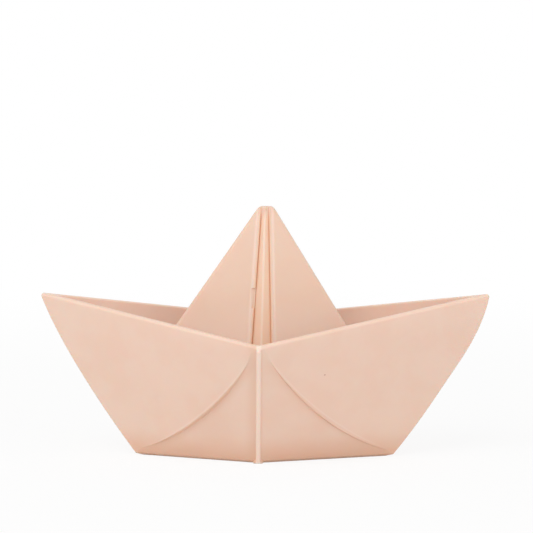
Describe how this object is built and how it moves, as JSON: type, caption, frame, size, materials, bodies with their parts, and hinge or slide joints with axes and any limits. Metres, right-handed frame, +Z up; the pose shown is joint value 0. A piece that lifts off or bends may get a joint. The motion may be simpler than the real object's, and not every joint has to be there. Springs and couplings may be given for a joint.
{
  "type": "toy boat",
  "caption": "Toy sailing boat in folded-paper form, moulded in rubber as one hollow piece: a V-shaped hull with pointed tips and a pyramid sail rising from its middle; it floats and is held",
  "frame": {"origin": "Middle of the bounding box in plan, on the resting face at the foot of the hull", "axes": "+X runs along the boat, towards the tip that the sail leans to; +Y runs across the boat; +Z up"},
  "size_m": [0.1401, 0.074, 0.0786],
  "materials": {
    "rubber": "Pale peach natural rubber, moulded smooth, with a soft satin sheen"
  },
  "bodies": {
    "root": {"boat": "rubber"}
  },
  "joints": []
}
